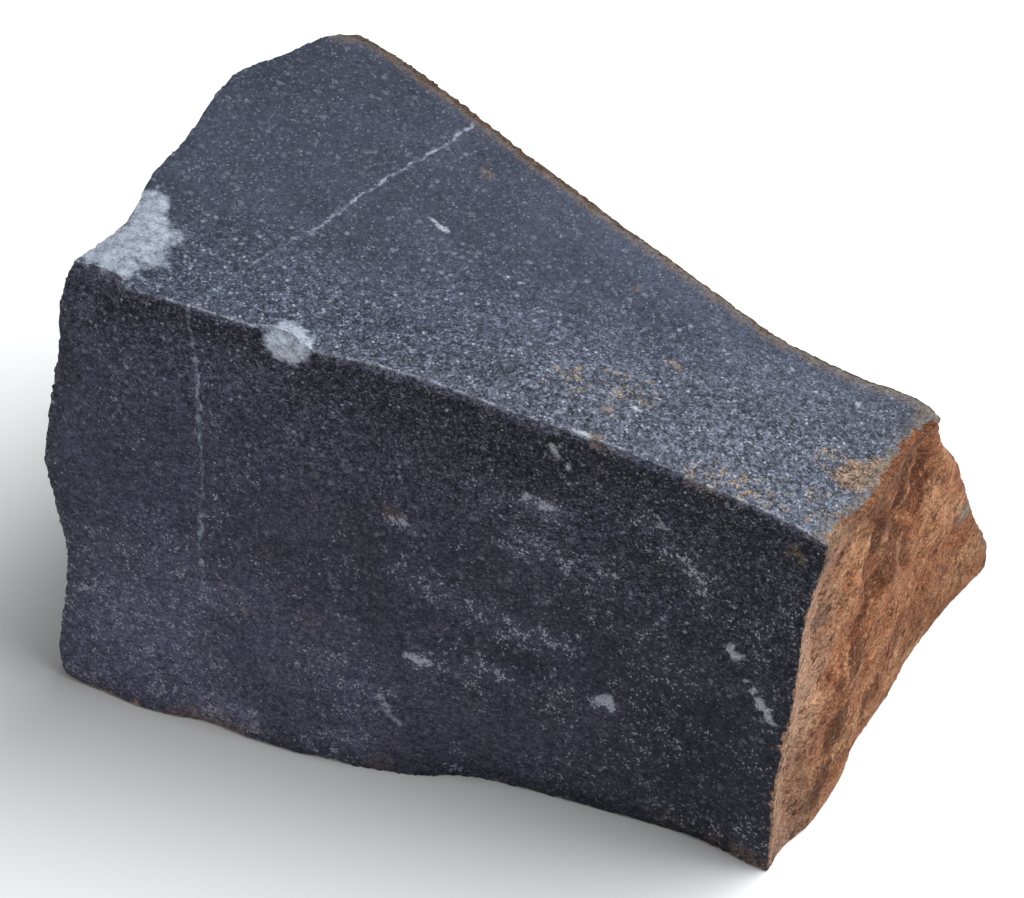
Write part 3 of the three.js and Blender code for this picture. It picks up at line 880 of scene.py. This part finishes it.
# The end's crust: streaks along the furrow, darkened by painted shadow in it, tan and dark
# patches, pits darkened by painted shade, and pale crumbs with painted highlights
def endCrust(tree, s):
    look = stoneLook
    mark = markLook
    crust = blend(tree, remap(tree, s.patch, 0.42, 0.66), look["crust"], look["crustLight"])
    # dark streaks along the furrow, with painted shadow in the furrow itself
    dark = plus(tree, s.streak, times(tree, attribute(tree, "furrow"), 0.27))
    dark = plus(tree, dark, swung(tree, s.powder, 0.3))
    dark = remap(tree, dark, 0.49, 0.7, 0.0, mark["darkStreak"])
    crust = blend(tree, dark, crust, look["crustDark"])
    # pale crumbs and painted highlights along the front edge of the end
    crumbsAndHighlights = plus(tree, s.at[1], swung(tree, s.powder, 6.0))
    crumbsAndHighlights = remap(tree, crumbsAndHighlights, -14.0, -21.5, 0.0, mark["crumbsAndHighlights"])
    crust = blend(tree, crumbsAndHighlights, crust, look["crumbsAndHighlights"])
    grey = vector1(tree, "DISTANCE", s.loose, patternLook["greySpot"])
    grey = remap(tree, grey, 2.6, 1.2, 0.0, mark["greySpot"])
    crust = blend(tree, grey, crust, look["crustGrey"])
    # painted shade of small pits: dark specks drawn out along the furrow
    shadedPits = noiseAt(tree, furrowPlace(tree, s.place, s.at[0]), patternLook["shadedPit"], 2, 0.7, seed=19)
    shadedPits = remap(tree, shadedPits, 0.54, 0.66, 0.0, mark["shadedPit"])
    crust = blend(tree, shadedPits, crust, look["crustDark"])
    paleGrains = remap(tree, s.grain[0], 0.8, 1.0, 0.0, mark["paleGrain"])
    return blend(tree, paleGrains, crust, look["crumbsAndHighlights"])


# The back and the underside are browner grey, with patches of the end's crust
def weatheredCrust(tree, s):
    rim = times(tree, remap(tree, s.edge, 2.4, 0.3), remap(tree, s.at[2], 38, 43))
    tone = times(
        tree,
        line(tree, s.grain[1], 1.0, 0.55),
        remap(tree, s.mottle, 0.33, 0.67, 0.75, 1.25, smooth=False),
        line(tree, rim, -0.5, 1.0),
    )
    footTone = remap(tree, s.at[2], 2, 20, 0.75, 1.0)
    crust = tinted(tree, endCrust(tree, s), times(tree, tone, footTone))
    turned = line(tree, s.patch, 1.6, math1(tree, "SUBTRACT", s.side[1], 0.8))
    turned = plus(tree, turned, swung(tree, s.powder, 0.8))
    behind = strongest(
        tree, remap(tree, turned, 0.2, 0.6), remap(tree, s.side[2], -0.6, -0.8),
    )
    behind = times(tree, behind, remap(tree, s.patch, 0.45, 0.7, 1.0, 0.6))
    behind = strongest(tree, behind, times(tree, rim, remap(tree, s.side[0], 0.5, 0.2)))
    return blend(tree, behind, crust, tinted(tree, stoneLook["backCrust"], tone))


def makeStone():
    material = bpy.data.materials.new("basalt")
    material.use_nodes = True
    tree = material.node_tree
    shader = tree.nodes["Principled BSDF"]
    s = readStone(tree)
    # the grain's tone, times the painted light and shade
    tone = toneWithPaintedLight(tree, s)
    fresh = freshStone(tree, s, tone)
    for addMarks in (addScuffs, addStreaks, addVein, addBruises, addRust):
        fresh = addMarks(tree, s, fresh)
    fresh = addRinds(tree, s, fresh, tone)

    fray = plus(tree, attribute(tree, "weathered"), times(tree, s.ragged, 0.2))
    skin = remap(tree, fray, 0.3, 0.7)
    colour = blend(tree, skin, fresh, weatheredCrust(tree, s))
    tree.links.new(colour, shader.inputs["Base Color"])
    tree.links.new(remap(tree, skin, 0, 1, 0.8, 0.95), shader.inputs["Roughness"])
    shader.inputs["Specular IOR Level"].default_value = 0.2
    rough = noiseAt(tree, s.place, patternLook["bump"], 1, 0.6, seed=21)
    bump = addNode(
        tree, "ShaderNodeBump",
        {"Height": rough, "Distance": patternLook["bumpHeight"] * mm, "Strength": 1.0},
    )
    tree.links.new(bump, shader.inputs["Normal"])
    return material


# Camera, floor and light
viewLook = {
    "azimuth": 22,          # degrees, from the front towards the brown end
    "elevation": 45,
    "distance": 400,        # mm
    "aim": (0.2, -6.0, 29.8),
    "lens": 140.625,        # mm, on a 36 mm sensor
}


def makeCamera():
    azimuth = math.radians(viewLook["azimuth"])
    elevation = math.radians(viewLook["elevation"])
    back = Vector((
        math.sin(azimuth) * math.cos(elevation),
        -math.cos(azimuth) * math.cos(elevation),
        math.sin(elevation),
    ))
    camera = bpy.data.objects.new("camera", bpy.data.cameras.new("camera"))
    bpy.context.scene.collection.objects.link(camera)
    camera.location = (Vector(viewLook["aim"]) + back * viewLook["distance"]) * mm
    camera.rotation_mode = "QUATERNION"
    camera.rotation_quaternion = (-back).to_track_quat("-Z", "Y")
    camera.data.lens = viewLook["lens"]
    camera.data.clip_start = 0.01
    camera.data.clip_end = 10
    bpy.context.scene.camera = camera


# Millimetres and watts
lightLook = {
    "key": {"place": (235, 175, 490), "size": 460, "power": 5.9, "colour": (0.91, 0.97, 1.0)},
    "low": {"place": (-230, -230, 80), "size": 220, "power": 0.2, "colour": (1.0, 0.97, 0.97)},
}

studioLook = {
    "aim": (0, 0, 20),          # mm, what both lights point at
    "surround": (0.9, 0.95, 1.0),
    "surroundStrength": 0.17,
    "floor": (0.88, 0.85, 0.83),
    "floorHalf": 2000,          # mm
}


def makeLights():
    for name, look in lightLook.items():
        light = bpy.data.lights.new(name, "AREA")
        light.size = look["size"] * mm
        light.energy = look["power"]
        light.color = look["colour"]
        lamp = bpy.data.objects.new(name, light)
        lamp.location = Vector(look["place"]) * mm
        aim = Vector(studioLook["aim"]) * mm - lamp.location
        lamp.rotation_euler = aim.to_track_quat("-Z", "Y").to_euler()
        bpy.context.scene.collection.objects.link(lamp)
    world = bpy.data.worlds.new("studio")
    world.use_nodes = True
    surround = world.node_tree.nodes["Background"]
    surround.inputs["Color"].default_value = colour4(studioLook["surround"])
    surround.inputs["Strength"].default_value = studioLook["surroundStrength"]
    bpy.context.scene.world = world
    bpy.context.scene.view_settings.view_transform = "Standard"


def makeFloor():
    half = studioLook["floorHalf"] * mm
    mesh = bpy.data.meshes.new("floor")
    corners = [(-half, -half, 0), (half, -half, 0), (half, half, 0), (-half, half, 0)]
    mesh.from_pydata(corners, [], [(0, 1, 2, 3)])
    floor = bpy.data.objects.new("floor", mesh)
    bpy.context.scene.collection.objects.link(floor)
    paper = bpy.data.materials.new("paper")
    paper.use_nodes = True
    shader = paper.node_tree.nodes["Principled BSDF"]
    shader.inputs["Base Color"].default_value = colour4(studioLook["floor"])
    shader.inputs["Roughness"].default_value = 0.9
    mesh.materials.append(paper)


makeCamera()
makeFloor()
makeLights()
print("camera, floor and lights placed")
stone = makeStone()
print("stone material made,", len(stone.node_tree.nodes), "nodes")
rock = makeRock(stone)
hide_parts("rock")
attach(rock, "root")
